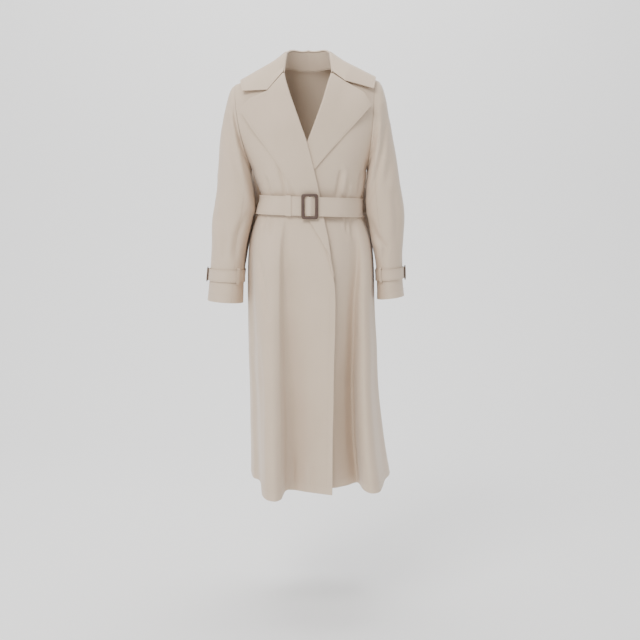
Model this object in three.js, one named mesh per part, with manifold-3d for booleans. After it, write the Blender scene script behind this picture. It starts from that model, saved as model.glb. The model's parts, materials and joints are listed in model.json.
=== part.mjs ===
// A belted trench coat in its worn form: walls of cloth round an open, hollow shape.
// Millimetres. X points to the wearer's left, Y to the back and Z up.
// The origin is the middle of the neck opening, level with the tops of the shoulders.
import * as THREE from 'three';
import { mergeVertices } from 'three/addons/utils/BufferGeometryUtils.js';
import Module from 'manifold-3d';

const wasm = await Module();
wasm.setup();

// Driving sizes
const CLOTH = 2;
const SEAM = 0.4;
const HEM_Z = -1090;
const UNDERARM_Z = -270;
const SQUARENESS = 2.3;
const NECK = { x: 65, z: -8, back: 68 };
const ARMHOLE = { front: 66, back: 75 };
const CHEST_ROUNDING = 0.7;
const BACK_ROUNDING = 0.45;
const NECK_SLOPE = 0.3;
const ROLL = { soft: 4, pressed: 2.4 };
const OVERLAP_LIFT = 6.8;
const BELT = { z: -364, height: 48, tilt: 0.035, wall: 2, layer: 2.6, overBar: 5.4 };
const BUCKLE = { x: 4, wide: 43, tall: 64, windowWide: 26, windowTall: 51, thick: 5.5, bar: 1.8 };
const CUFF_STRAP = { top: 0.887, bottom: 0.9285, out: 3.6, buckleAt: 8, overBar: 5.6 };
const CUFF_BUCKLE = { wide: 26, tall: 38, windowWide: 15, windowTall: 33, thick: 3.4, bar: 1.2 };
const KEEPER = { x: -43, wide: 12, wall: 1.2, gap: 0.6 };

// What differs between the wearer's right side, at minus X, and left side, at plus X
const SIDES = {
  right: { sign: -1, tipX: 188, tipZ: -51, underarmX: 146 },
  left: { sign: 1, tipX: 169, tipZ: -36, underarmX: 152 },
};

// Half widths and depths of the body at each height, before the skirt's folds
const BODY = [
  { z: -1090, right: 158, left: 205, front: 160, back: 150 },
  { z: -900, right: 159, left: 181, front: 152, back: 142 },
  { z: -700, right: 162, left: 172, front: 147, back: 136 },
  { z: -600, right: 162, left: 169, front: 143, back: 132 },
  { z: -500, right: 160, left: 168, front: 138, back: 126 },
  { z: -453, right: 154, left: 162, front: 130, back: 117 },
  { z: -414, right: 143, left: 149, front: 118, back: 104 },
  { z: -389, right: 133, left: 140, front: 110, back: 95 },
  { z: -364, right: 126, left: 139, front: 108, back: 92 },
  { z: -341, right: 120, left: 140, front: 109, back: 93 },
  { z: -318, right: 128, left: 145, front: 115, back: 98 },
  { z: -295, right: 138, left: 149, front: 119, back: 103 },
  { z: -270, right: 146, left: 152, front: 121, back: 106 },
];

// Where each front's edge runs: the roll of the lapel above, the straight edge below
const RIGHT_EDGE = [
  { z: -1100, x: 61 }, { z: -925, x: 63 }, { z: -750, x: 66 }, { z: -593, x: 69 },
  { z: -548, x: 65 }, { z: -503, x: 57 }, { z: -448, x: 49 }, { z: -390, x: 37 },
  { z: -336, x: 27 }, { z: -269, x: 12 }, { z: -201, x: -6 }, { z: -138, x: -29 },
  { z: -83, x: -49 }, { z: -43, x: -61 }, { z: -20, x: -65 }, { z: 0, x: -65 },
];
const LEFT_EDGE = [
  { z: -1100, x: -44 }, { z: -800, x: -56 }, { z: -500, x: -66 }, { z: -390, x: -64 },
  { z: -340, x: -52 }, { z: -270, x: -25 }, { z: -197, x: 3 }, { z: -104, x: 39 },
  { z: -54, x: 54 }, { z: -24, x: 63 }, { z: 0, x: 65 },
];

// Ridges and valleys of the hem, each with the angle round the waist that it falls from
const RIGHT_HEM = [
  { at: -104, x: -159, y: 104, z: -1090 },
  { at: -90, x: -157, y: 55, z: -1090 },
  { at: -80, x: -147, y: -5, z: -1090 },
  { at: -71, x: -127, y: -45, z: -1090 },
  { at: -62, x: -114, y: -174, z: -1094 },
  { at: -42, x: -88, y: -222, z: -1097 },
  { at: -23, x: -64, y: -206, z: -1096 },
  { at: -18.5, x: -56, y: -142, z: -1091 },
  { at: -13, x: -40, y: -132, z: -1090 },
  { at: 0, x: 3, y: -158, z: -1090 },
  { at: 26, x: 61, y: -190, z: -1090 },
  { at: 40, x: 95, y: -200, z: -1090 },
];
const LEFT_HEM = [
  { at: -34, x: -44, y: -110, z: -1083 },
  { at: -10, x: 0, y: -128, z: -1083 },
  { at: 12, x: 34, y: -140, z: -1082 },
  { at: 28, x: 66, y: -155, z: -1081 },
  { at: 40, x: 100, y: -126, z: -1081 },
  { at: 50, x: 128, y: -96, z: -1081 },
  { at: 59, x: 141, y: -166, z: -1083 },
  { at: 67, x: 160, y: -196, z: -1085 },
  { at: 75, x: 182, y: -180, z: -1085 },
  { at: 81, x: 193, y: -124, z: -1083 },
  { at: 86, x: 202, y: -62, z: -1081 },
  { at: 91, x: 216, y: -6, z: -1082 },
  { at: 102, x: 217, y: 62, z: -1084 },
];
const BACK_HEM = [
  { at: 81, x: 193, y: -124, z: -1083 },
  { at: 86, x: 202, y: -62, z: -1081 },
  { at: 91, x: 216, y: -6, z: -1082 },
  { at: 102, x: 217, y: 62, z: -1084 },
  { at: 114, x: 196, y: 120, z: -1087 },
  { at: 126, x: 150, y: 128, z: -1088 },
  { at: 138, x: 122, y: 178, z: -1090 },
  { at: 152, x: 80, y: 144, z: -1089 },
  { at: 164, x: 50, y: 186, z: -1091 },
  { at: 180, x: 2, y: 156, z: -1090 },
  { at: 196, x: -46, y: 184, z: -1091 },
  { at: 209, x: -78, y: 144, z: -1089 },
  { at: 222, x: -112, y: 172, z: -1091 },
  { at: 236, x: -138, y: 122, z: -1090 },
  { at: 256, x: -159, y: 104, z: -1090 },
  { at: 270, x: -157, y: 55, z: -1090 },
  { at: 280, x: -147, y: -5, z: -1090 },
];

// Outer edges of the lapels, from the tip down to where they meet the front's edge
const LAPELS = {
  right: {
    edge: RIGHT_EDGE,
    notch: { x: -103, z: -72 },
    corner: { x: -148, z: -92 },
    top: -27,
    bottom: -540,
    outer: [
      { at: 0, x: -175, z: -119 }, { at: 0.14, x: -140, z: -172 }, { at: 0.34, x: -91, z: -238 },
      { at: 0.48, x: -60, z: -287 }, { at: 0.6, x: -31, z: -336 }, { at: 0.75, x: 4, z: -401 },
      { at: 0.86, x: 32, z: -447 }, { at: 0.94, x: 53, z: -489 }, { at: 1, x: 62, z: -522 },
    ],
  },
  left: {
    edge: LEFT_EDGE,
    notch: { x: 94, z: -48 },
    corner: { x: 141, z: -76 },
    top: -28,
    bottom: -330,
    outer: [
      { at: 0, x: 162, z: -108 }, { at: 0.22, x: 134, z: -140 }, { at: 0.48, x: 88, z: -190 },
      { at: 0.74, x: 43, z: -240 }, { at: 0.9, x: 14, z: -274 }, { at: 1, x: -14, z: -308 },
    ],
  },
};

// The collar by place along the neck: 0 at the middle of the back, 1 at the gorge in front
const COLLAR = [
  { at: 0, stand: 54, x: 0, level: 0.53, sag: 0 },
  { at: 0.31, stand: 50, x: 118, level: 0.62, sag: -4 },
  { at: 0.5, stand: 44, x: 163, level: 0.83, sag: -6 },
  { at: 0.62, stand: 41, x: 173, level: 0.995, sag: -5 },
  { at: 0.8, stand: 27, x: 174, level: 0.82, sag: 3 },
  { at: 1, stand: 3, x: 168, level: 0.625, sag: 0 },
];
const COLLAR_SIDE = 0.62;
const COLLAR_LIFT = 5;

// Each sleeve from armhole to cuff: outer and inner line, depth to front and back, and how far
// its front (reach) and back (lag) drape in towards the body
const SLEEVES = {
  left: [
    { at: 0, outX: 169, outZ: -36, inX: 152, inZ: -270, front: 66, back: 75, reach: 0, lag: 0 },
    { at: 0.07, outX: 187, outZ: -49, inX: 153.5, inZ: -276, front: 68, back: 77, reach: 0, lag: 0 },
    { at: 0.15, outX: 200, outZ: -82, inX: 154, inZ: -284, front: 70, back: 79, reach: 4, lag: 0 },
    { at: 0.25, outX: 210, outZ: -132, inX: 155, inZ: -297, front: 71, back: 79, reach: 10, lag: 14 },
    { at: 0.38, outX: 223, outZ: -205, inX: 154, inZ: -322, front: 71, back: 75, reach: 16, lag: 42 },
    { at: 0.52, outX: 238, outZ: -292, inX: 153, inZ: -362, front: 70, back: 70, reach: 18, lag: 64 },
    { at: 0.64, outX: 250, outZ: -370, inX: 160, inZ: -408, front: 70, back: 66, reach: 22, lag: 64 },
    { at: 0.76, outX: 250, outZ: -440, inX: 172, inZ: -460, front: 72, back: 58, reach: 22, lag: 46 },
    { at: 0.86, outX: 247, outZ: -505, inX: 180, inZ: -512, front: 73, back: 48, reach: 20, lag: 26 },
    { at: 0.94, outX: 248, outZ: -560, inX: 182, inZ: -566, front: 75, back: 42, reach: 16, lag: 8 },
    { at: 1, outX: 252, outZ: -598, inX: 182, inZ: -607, front: 78, back: 40, reach: 14, lag: 4 },
  ],
  right: [
    { at: 0, outX: 188, outZ: -51, inX: 146, inZ: -270, front: 66, back: 75, reach: 0, lag: 0 },
    { at: 0.07, outX: 199, outZ: -64, inX: 147.5, inZ: -276, front: 68, back: 77, reach: 0, lag: 0 },
    { at: 0.15, outX: 209, outZ: -90, inX: 148, inZ: -284, front: 70, back: 79, reach: 4, lag: 0 },
    { at: 0.25, outX: 219, outZ: -132, inX: 148, inZ: -297, front: 71, back: 79, reach: 12, lag: 14 },
    { at: 0.38, outX: 229, outZ: -205, inX: 144, inZ: -322, front: 71, back: 75, reach: 18, lag: 46 },
    { at: 0.52, outX: 238, outZ: -292, inX: 141, inZ: -362, front: 70, back: 70, reach: 20, lag: 78 },
    { at: 0.64, outX: 247, outZ: -370, inX: 153, inZ: -408, front: 70, back: 66, reach: 24, lag: 70 },
    { at: 0.76, outX: 253, outZ: -440, inX: 165, inZ: -460, front: 72, back: 58, reach: 24, lag: 54 },
    { at: 0.86, outX: 256, outZ: -508, inX: 171, inZ: -512, front: 73, back: 48, reach: 22, lag: 42 },
    { at: 0.94, outX: 261, outZ: -566, inX: 172, inZ: -570, front: 76, back: 42, reach: 18, lag: 24 },
    { at: 1, outX: 266, outZ: -610, inX: 173, inZ: -616, front: 80, back: 40, reach: 16, lag: 10 },
  ],
};
const SLEEVE_SEAM = 105;

// Colours of the cloth and of the buckles
const CLOTH_COLOR = 0xcdb89b;
const LIGHT_CLOTH = 0xd8c5aa;
const BUCKLE_COLOR = 0x4a3a32;

const radians = (degrees) => degrees * Math.PI / 180;
const clamp = (value, low = 0, high = 1) => Math.min(high, Math.max(low, value));
const mix = (a, b, t) => a + (b - a) * t;

function smooth(value) {
  const t = clamp(value);
  return t * t * (3 - 2 * t);
}

// Evenly spaced numbers from one value to another, both included
function steps(from, to, count) {
  return Array.from({ length: count + 1 }, (_, i) => mix(from, to, i / count));
}

// Smooth value of one column of a table at a place along its key column
function along(rows, key, place, column) {
  let i = 0;
  while (i < rows.length - 2 && rows[i + 1][key] < place) i += 1;
  const slope = (k) => {
    const before = rows[Math.max(k - 1, 0)];
    const after = rows[Math.min(k + 1, rows.length - 1)];
    return (after[column] - before[column]) / (after[key] - before[key]);
  };
  const span = rows[i + 1][key] - rows[i][key];
  const t = (place - rows[i][key]) / span;
  const [t2, t3] = [t * t, t * t * t];
  return rows[i][column] * (2 * t3 - 3 * t2 + 1) + slope(i) * span * (t3 - 2 * t2 + t)
    + rows[i + 1][column] * (3 * t2 - 2 * t3) + slope(i + 1) * span * (t3 - t2);
}

// Root of a rising or falling function between two values, by halving
function solve(f, low, high) {
  const startsPositive = f(low) > 0;
  for (let i = 0; i < 40; i += 1) {
    const middle = (low + high) / 2;
    if ((f(middle) > 0) === startsPositive) low = middle;
    else high = middle;
  }
  return (low + high) / 2;
}

// Direction out of a surface that is a function of two parameters
function normalAt(shape, u, v, step = 0.002) {
  const du = shape(u + step, v).sub(shape(u - step, v));
  const dv = shape(u, v + step).sub(shape(u, v - step));
  return du.cross(dv).normalize();
}

// Closed wall of even thickness under a surface; side -1 turns its outer face round
function wall(shape, us, vs, { thick = CLOTH, side = 1, ring = false, flatStart = false } = {}) {
  const columns = us.length;
  const outer = [];
  const inner = [];
  for (const v of vs) {
    for (const u of us) {
      const point = shape(u, v);
      const normal = normalAt(shape, u, v).multiplyScalar(side);
      if (flatStart && v === vs[0]) normal.setX(0).normalize();
      outer.push(point);
      inner.push(point.clone().addScaledVector(normal, -thick));
    }
  }
  const faces = [];
  const quad = (a, b, c, d) => faces.push(...(side > 0 ? [a, b, c, a, c, d] : [a, c, b, a, d, c]));
  const out = (i, j) => (i % columns) + j * columns;
  const inn = (i, j) => out(i, j) + outer.length;
  const lastI = ring ? columns : columns - 1;
  const lastJ = vs.length - 1;
  for (let i = 0; i < lastI; i += 1) {
    for (let j = 0; j < lastJ; j += 1) {
      quad(out(i, j), out(i + 1, j), out(i + 1, j + 1), out(i, j + 1));
      quad(inn(i, j), inn(i, j + 1), inn(i + 1, j + 1), inn(i + 1, j));
    }
    quad(out(i, 0), inn(i, 0), inn(i + 1, 0), out(i + 1, 0));
    quad(out(i, lastJ), out(i + 1, lastJ), inn(i + 1, lastJ), inn(i, lastJ));
  }
  for (let j = 0; j < lastJ && !ring; j += 1) {
    quad(out(0, j), out(0, j + 1), inn(0, j + 1), inn(0, j));
    quad(out(lastI, j), inn(lastI, j), inn(lastI, j + 1), out(lastI, j + 1));
  }
  const geometry = new THREE.BufferGeometry().setFromPoints([...outer, ...inner]);
  geometry.setIndex(faces);
  return geometry;
}

const sideOf = (x) => (x < 0 ? SIDES.right : SIDES.left);

// Height of the shoulder seam at a distance from the middle
function shoulderZ(x) {
  const { tipX, tipZ } = sideOf(x);
  const past = Math.abs(x) - NECK.x;
  return NECK.z + past * (past < 0 ? -NECK_SLOPE : (tipZ - NECK.z) / (tipX - NECK.x));
}

// Point of the armhole at a share of its height, as distances from the middle and from the seam
function armhole(side, share, face) {
  const y = ARMHOLE[face] * Math.sqrt(Math.max(0, 1 - (2 * share - 1) ** 2));
  const x = mix(side.underarmX, side.tipX, 1 - (1 - share) ** 2);
  return { x, y };
}

// Half width and depth of the body form above the underarm, at a level from 0 to 1
function upperSection(side, level, face) {
  const angle = radians(90 * level);
  const rounding = face === 'front' ? CHEST_ROUNDING : BACK_ROUNDING;
  const share = Math.sin(angle);
  const deep = along(BODY, 'z', UNDERARM_Z, face) * Math.max(Math.cos(angle), 1e-6) ** rounding;
  const hole = armhole(side, clamp(share), face);
  const ratio = clamp(hole.y / deep, 0, 0.95);
  const wide = hole.x / (1 - ratio ** SQUARENESS) ** (1 / SQUARENESS);
  return { wide, deep, share, ratio };
}

// Level of a height: -1 at the hem, 0 at the underarm; above it the shoulder's own angle
const levelOf = (z) => (z - UNDERARM_Z) / (UNDERARM_Z - HEM_Z);

// Depth of the front at a place seen from the front, with an outward move
function depthAt(x, z, out = 0) {
  if (z <= UNDERARM_Z) {
    const level = levelOf(z);
    const turn = solve((angle) => bodyPoint(RIGHT_HEM, angle, level, out).x - x, -60, 60);
    return -bodyPoint(RIGHT_HEM, turn, level, out).y;
  }
  const share = clamp((z - UNDERARM_Z) / (shoulderZ(x) + out - UNDERARM_Z), 0, 0.9999);
  const { wide, deep } = upperSection(sideOf(x), Math.asin(share) / radians(90), 'front');
  const reach = clamp(Math.abs(x) / (wide + out), 0, 0.97);
  return (deep + out) * (1 - reach ** SQUARENESS) ** (1 / SQUARENESS);
}

const power = (value) => Math.sign(value) * Math.abs(value) ** (2 / SQUARENESS);

// How much of the hem's folds shows at a height
const fullness = (z) => clamp((-392 - z) / (-392 - HEM_Z)) ** 0.68;

// Point of a section at an angle from the front, before folds
function sectionPoint(turn, z, out) {
  const [s, c] = [Math.sin(radians(turn)), Math.cos(radians(turn))];
  const wide = along(BODY, 'z', z, s < 0 ? 'right' : 'left') + out;
  const deep = along(BODY, 'z', z, c > 0 ? 'front' : 'back') + out;
  return new THREE.Vector3(wide * power(s), -deep * power(c), z);
}

// Point of the body at an angle and level, with the hem's folds and an outward move
function bodyPoint(hem, turn, level, out = 0) {
  if (level <= 0) {
    const z = UNDERARM_Z + level * (UNDERARM_Z - HEM_Z);
    const point = sectionPoint(turn, z, out);
    const plain = sectionPoint(turn, HEM_Z, 0);
    const fold = ['x', 'y', 'z'].map((axis) => along(hem, 'at', turn, axis) - plain[axis]);
    return point.addScaledVector(new THREE.Vector3(...fold), fullness(z));
  }
  const [s, c] = [Math.sin(radians(turn)), Math.cos(radians(turn))];
  const side = s < 0 ? SIDES.right : SIDES.left;
  const { wide, deep, share } = upperSection(side, level, c > 0 ? 'front' : 'back');
  const x = (wide + out) * power(s);
  const z = UNDERARM_Z + (shoulderZ(x) + out - UNDERARM_Z) * share;
  return new THREE.Vector3(x, -(deep + out) * power(c), z);
}

// Angle at which a row of a panel ends, on the side seam or on the armhole
function endTurn(side, level, face) {
  if (level <= 0) return 90;
  const { ratio } = upperSection(side, level, face);
  return Math.acos(ratio ** (SQUARENESS / 2)) * 180 / Math.PI;
}

// How far the right front is moved out to lie on the left front
function overlapLift(x, z) {
  return OVERLAP_LIFT * smooth((x + 140) / 60) * smooth((-90 - z) / 80);
}

// One front, from the side seam (u 0) to its edge (u 1)
function frontPanel(name) {
  const isRight = name === 'right';
  const side = SIDES[name];
  const hem = isRight ? RIGHT_HEM : LEFT_HEM;
  const edge = isRight ? RIGHT_EDGE : LEFT_EDGE;
  const place = (turn, level) => {
    const flat = bodyPoint(hem, turn, level);
    const point = isRight ? bodyPoint(hem, turn, level, overlapLift(flat.x, flat.z)) : flat;
    return point.setY(point.y - SEAM / 2);
  };
  const past = (turn, level) => {
    const point = place(turn, level);
    return point.x - along(edge, 'z', point.z, 'x');
  };
  return (u, v) => {
    const level = clamp(v, -2, 1);
    const first = side.sign * endTurn(side, level, 'front');
    const last = solve((turn) => past(turn, level), -first * 0.6, first * 0.9);
    return place(mix(first, last, u), level);
  };
}

// Level at which the back ends: the shoulder seam, or the neckline between its ends
function backTop(x) {
  const reach = clamp(Math.abs(x) / NECK.x);
  if (reach >= 1) return 1;
  const deep = along(BODY, 'z', UNDERARM_Z, 'back');
  const y = NECK.back * Math.sqrt(1 - reach * reach);
  const angle = Math.acos(clamp((y / deep) ** (1 / BACK_ROUNDING)));
  return angle / radians(90);
}

// The back, from the wearer's left side seam (u -1) to the right one (u 1)
function backPanel(u, v) {
  const seam = new THREE.Vector3(0, SEAM / 2, 0);
  if (v <= 0) return bodyPoint(BACK_HEM, 180 + 90 * u, v).add(seam);
  const side = u < 0 ? SIDES.left : SIDES.right;
  const inside = clamp(u, -1, 1);
  const spread = power(Math.sin(radians(90 * inside))) + 0.3 * (u - inside);
  const level = clamp(v) * backTop(side.tipX * spread);
  const { wide } = upperSection(side, level, 'back');
  const x = armhole(side, Math.sin(radians(90 * level)), 'back').x * spread;
  const turn = Math.asin(clamp(Math.abs(x) / wide) ** (SQUARENESS / 2)) / radians(1);
  return bodyPoint(BACK_HEM, 180 + Math.sign(u) * turn, level).add(seam);
}

// One lapel: the roll round the front's edge (across below 0), then the part that lies on it
function lapelPoint(name) {
  const { edge, notch, corner, top, bottom, outer } = LAPELS[name];
  const [tip, inner] = [outer[0], { x: along(edge, 'z', top, 'x'), z: top }];
  const topEdge = [{ at: 0, ...inner }, { at: 0.4, ...notch }, { at: 0.78, ...corner }, { ...tip, at: 1 }];
  const bend = (across, axis) => linear(topEdge, across, axis) - mix(inner[axis], tip[axis], across);
  return (across, down) => {
    const z = mix(top, bottom, down);
    const x = along(edge, 'z', z, 'x');
    const far = { x: along(outer, 'at', down, 'x'), z: along(outer, 'at', down, 'z') };
    const base = name === 'right' ? overlapLift : () => 0;
    const radius = mix(ROLL.pressed, ROLL.soft, smooth((z + 190) / 100));
    if (across < 0) {
      const angle = radians(90 + 180 * across);
      const px = x - SIDES[name].sign * (2 * SEAM + radius * Math.cos(angle));
      const out = base(x, z) - CLOTH + radius * (1 + Math.sin(angle));
      return new THREE.Vector3(px, -depthAt(px, z, out), z);
    }
    const fade = (1 - down) ** 4;
    const px = mix(x, far.x, across) + fade * bend(across, 'x');
    const pz = mix(z, far.z, across) + fade * bend(across, 'z');
    const tipLift = 13 * smooth((across - 0.35) / 0.65) * smooth(1 - down / 0.45);
    const rolled = mix(2 * radius - CLOTH, 3.8, smooth(across * 1.4));
    const out = base(px, pz) + rolled + tipLift;
    return new THREE.Vector3(px, -depthAt(px, pz, out), pz);
  };
}

// Straight-line value of one column of a table
function linear(rows, place, column) {
  let i = 0;
  while (i < rows.length - 2 && rows[i + 1].at < place) i += 1;
  const t = (place - rows[i].at) / (rows[i + 1].at - rows[i].at);
  return mix(rows[i][column], rows[i + 1][column], t);
}

// Point of the neckline seam; place -1 is the wearer's right gorge, 1 the left one
function necklinePoint(place) {
  const far = Math.abs(place);
  const sign = place < 0 ? -1 : 1;
  if (far <= COLLAR_SIDE) {
    const angle = radians(90 * place / COLLAR_SIDE);
    const x = NECK.x * Math.sin(angle);
    const rise = Math.sin(radians(90 * backTop(x)));
    return new THREE.Vector3(x, NECK.back * Math.cos(angle), mix(UNDERARM_Z, shoulderZ(x), rise));
  }
  const down = (far - COLLAR_SIDE) / (1 - COLLAR_SIDE);
  const z = NECK.z - 17 * down * down;
  const x = sign * mix(NECK.x, NECK.x - 1, down);
  return new THREE.Vector3(x, -depthAt(x, z), z);
}

// Direction from the neckline towards the middle of the neck, level
function inwardAt(place) {
  const point = necklinePoint(place);
  return new THREE.Vector3(-point.x, Math.min(0, -point.y), 0).normalize();
}

// Top of the collar, where the stand turns over into the fall
function foldPoint(place) {
  const rise = along(COLLAR, 'at', Math.abs(place), 'stand');
  const lean = 7 * clamp(rise / 40);
  return necklinePoint(place).addScaledVector(inwardAt(place), lean).add(new THREE.Vector3(0, 0, rise));
}

// Outer edge of the collar, lying on the shoulders
function collarEdge(place) {
  const far = Math.abs(place);
  const sign = place < 0 ? -1 : 1;
  const x = sign * along(COLLAR, 'at', far, 'x');
  const level = clamp(along(COLLAR, 'at', far, 'level'), 0, 0.999);
  const face = far < COLLAR_SIDE ? 'back' : 'front';
  const out = far < COLLAR_SIDE ? 6 : mix(6, 13, (far - COLLAR_SIDE) / (1 - COLLAR_SIDE));
  const { wide, deep, share } = upperSection(sideOf(x), level, face);
  const z = UNDERARM_Z + (shoulderZ(x) + out - UNDERARM_Z) * share;
  const reach = clamp(Math.abs(x) / (wide + out), 0, 0.985);
  const y = (deep + out) * (1 - reach ** SQUARENESS) ** (1 / SQUARENESS);
  return new THREE.Vector3(x, face === 'back' ? y : -y, z);
}

// Collar fall: the turn over the stand (out below 0), then the part that lies on the shoulders
function collarFall(place, out) {
  const fold = foldPoint(place);
  const up = new THREE.Vector3(0, 0, 1);
  if (out < 0) {
    const angle = radians(90 + 90 * out);
    return fold.addScaledVector(up, ROLL.soft * (Math.sin(angle) - 1))
      .addScaledVector(inwardAt(place), ROLL.soft * Math.cos(angle));
  }
  const far = Math.abs(place);
  const name = place < 0 ? 'right' : 'left';
  const point = fold.clone().lerp(collarEdge(place), out);
  point.addScaledVector(up, along(COLLAR, 'at', far, 'sag') * Math.sin(Math.PI * out));
  const { notch } = LAPELS[name];
  const notchPoint = new THREE.Vector3(notch.x, -depthAt(notch.x, notch.z, 7), notch.z + 2);
  const straight = foldPoint(Math.sign(place)).lerp(collarEdge(Math.sign(place)), 0.42);
  const bend = out < 0.42 ? out / 0.42 : (1 - out) / 0.58;
  point.addScaledVector(notchPoint.sub(straight), bend * smooth((far - 0.72) / 0.28));
  if (far > COLLAR_SIDE) point.y = Math.min(point.y, -depthAt(point.x, point.z, COLLAR_LIFT));
  return point;
}

// Collar stand, from the neckline seam up to just under the fold
function collarStand(place, up) {
  const foot = necklinePoint(place).add(new THREE.Vector3(0, 0, 3 * SEAM));
  const head = foldPoint(place).add(new THREE.Vector3(0, 0, -ROLL.soft - 5 * SEAM));
  head.addScaledVector(inwardAt(place), ROLL.soft);
  return foot.lerp(head, up);
}

// Point of a sleeve: around is 0 on the outer line, 90 in front, 180 on the inner line
function sleevePoint(name, around, down, out = 0) {
  const rows = SLEEVES[name];
  const side = SIDES[name];
  const at = (column) => along(rows, 'at', down, column);
  const [c, s] = [Math.cos(radians(around)), Math.sin(radians(around))];
  const outer = new THREE.Vector3(at('outX'), 0, at('outZ'));
  const inner = new THREE.Vector3(at('inX'), 0, at('inZ'));
  const axis = outer.clone().sub(inner).multiplyScalar(0.5);
  const point = inner.clone().add(axis).addScaledVector(axis, c * (1 + out / axis.length()));
  const share = (1 + c) / 2;
  const bulge = (side.tipX - side.underarmX) * (share - share * share);
  const drape = (s > 0 ? at('reach') * s : at('lag') * s * s) * (1 - c) / 2;
  point.x += bulge * smooth(1 - down / 0.3) + 1.5 * SEAM - drape;
  point.x *= side.sign;
  point.y = -s * ((s > 0 ? at('front') : at('back')) + out);
  return point;
}

// How far the belt stands off the body form over the layers that it crosses
const beltLift = (x) => mix(4.4, 15.8, smooth((130 - Math.abs(x + 4)) / 60));

// Angle of the buckle's middle bar on the belt
const BAR_ANGLE = solve((angle) => sectionPoint(angle, BELT.z, 0).x - BUCKLE.x, -20, 20);

// The belt winds once round the waist from the bar, then over the bar and over its own start
function beltPoint(wound, up) {
  const angle = BAR_ANGLE - wound;
  const { x, y } = sectionPoint(angle, BELT.z, 0);
  const second = BELT.layer * smooth((wound - 285) / 45);
  const bump = y < 0 && wound > 180 ? BELT.overBar * Math.exp(-(((x - BUCKLE.x) / 6) ** 2)) : 0;
  return beltPlace(angle, BELT.height * (up - 0.5), beltLift(y < 0 ? x : Infinity) + second + bump);
}

// Point at an angle and height on the belt line, which tilts and stands upright in front
function beltPlace(angle, height, out) {
  const { x, y } = sectionPoint(angle, BELT.z, 0);
  const z = BELT.z + height - BELT.tilt * x;
  const upright = y < 0 ? smooth((110 - Math.abs(x)) / 50) : 0;
  return sectionPoint(angle, mix(z, BELT.z, upright), out).setZ(z);
}

// Loop of cloth that holds the belt's free end on the layer below
function keeperPoint(around, across) {
  const [c, s] = [Math.cos(radians(around)), Math.sin(radians(around))];
  const middle = (BELT.layer - BELT.wall) / 2;
  const high = BELT.height / 2 + KEEPER.gap + KEEPER.wall;
  const deep = (BELT.layer + BELT.wall) / 2 + KEEPER.gap + KEEPER.wall;
  const square = (value) => Math.sign(value) * Math.abs(value) ** 0.12;
  const x = KEEPER.x + KEEPER.wide * (0.5 - across);
  const angle = solve((turn) => sectionPoint(turn, BELT.z, 0).x - x, -60, 60);
  return beltPlace(angle, high * square(s), beltLift(x) + middle + deep * square(c));
}

// Rectangle with round corners, about the middle
function roundedRect(path, wide, tall, radius) {
  const [x, y] = [wide / 2, tall / 2];
  path.moveTo(-x + radius, -y);
  path.lineTo(x - radius, -y).absarc(x - radius, -y + radius, radius, -Math.PI / 2, 0);
  path.lineTo(x, y - radius).absarc(x - radius, y - radius, radius, 0, Math.PI / 2);
  path.lineTo(-x + radius, y).absarc(-x + radius, y - radius, radius, Math.PI / 2, Math.PI);
  path.lineTo(-x, -y + radius).absarc(-x + radius, -y + radius, radius, Math.PI, Math.PI * 1.5);
  return path;
}

function toSolid(geometry) {
  const bare = geometry.clone();
  bare.deleteAttribute('normal');
  bare.deleteAttribute('uv');
  const merged = mergeVertices(bare, 1e-4);
  const numProp = 3;
  const vertProperties = new Float32Array(merged.attributes.position.array);
  const triVerts = new Uint32Array(merged.index.array);
  return new wasm.Manifold(new wasm.Mesh({ numProp, vertProperties, triVerts }));
}

function fromSolid(solid) {
  const { vertProperties, triVerts } = solid.getMesh();
  const geometry = new THREE.BufferGeometry();
  geometry.setAttribute('position', new THREE.BufferAttribute(vertProperties, 3));
  geometry.setIndex(new THREE.BufferAttribute(triVerts, 1));
  return geometry;
}

// Buckle with a rounded frame and a set-back middle bar; its face looks along plus Z
function buckleGeometry({ wide, tall, windowWide, windowTall, thick, bar }) {
  const edge = 1;
  const shape = roundedRect(new THREE.Shape(), wide - 2 * edge, tall - 2 * edge, 5);
  shape.holes.push(roundedRect(new THREE.Path(), windowWide + 2 * edge, windowTall + 2 * edge, 3));
  const frame = new THREE.ExtrudeGeometry(shape, {
    depth: thick - 2 * edge, bevelThickness: edge, bevelSize: edge, bevelSegments: 1, curveSegments: 3,
  });
  frame.translate(0, 0, edge);
  const middle = new THREE.BoxGeometry(3, windowTall + 3, bar);
  middle.translate(0, 0, bar / 2 + 0.1);
  return fromSolid(toSolid(frame).add(toSolid(middle)));
}

function mesh(name, geometry, color = CLOTH_COLOR, roughness = 0.85) {
  const material = new THREE.MeshStandardMaterial({ color, roughness, metalness: 0 });
  const piece = new THREE.Mesh(geometry, material);
  piece.name = name;
  return piece;
}

const coat = new THREE.Group();

// Levels of the rows of the body panels, closer where the form turns
const SKIRT_LEVELS = [-1090, -960, -820, -700, -610, -541, -500, -450, -416, -390].map(levelOf);
const WAIST_LEVELS = [-364, -340, -318, -294].map(levelOf);
const SHOULDER_LEVELS = [0, 0.03, 0.08, 0.16, 0.27, 0.41, 0.55, 0.69, 0.82, 0.93, 1];
const LEVELS = [...SKIRT_LEVELS, ...WAIST_LEVELS, ...SHOULDER_LEVELS];

// Columns of the right front, closer at the edge of its pleat
const PLEATED = [...steps(0, 0.56, 12), 0.58, 0.6, 0.62, 0.645, ...steps(0.68, 1, 8)];

function makeBody() {
  coat.add(mesh('front_right', wall(frontPanel('right'), PLEATED, LEVELS)));
  coat.add(mesh('front_left', wall(frontPanel('left'), steps(0, 1, 22), LEVELS, { side: -1 })));
  coat.add(mesh('back', wall(backPanel, steps(-1, 1, 34), LEVELS)));
}

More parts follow.
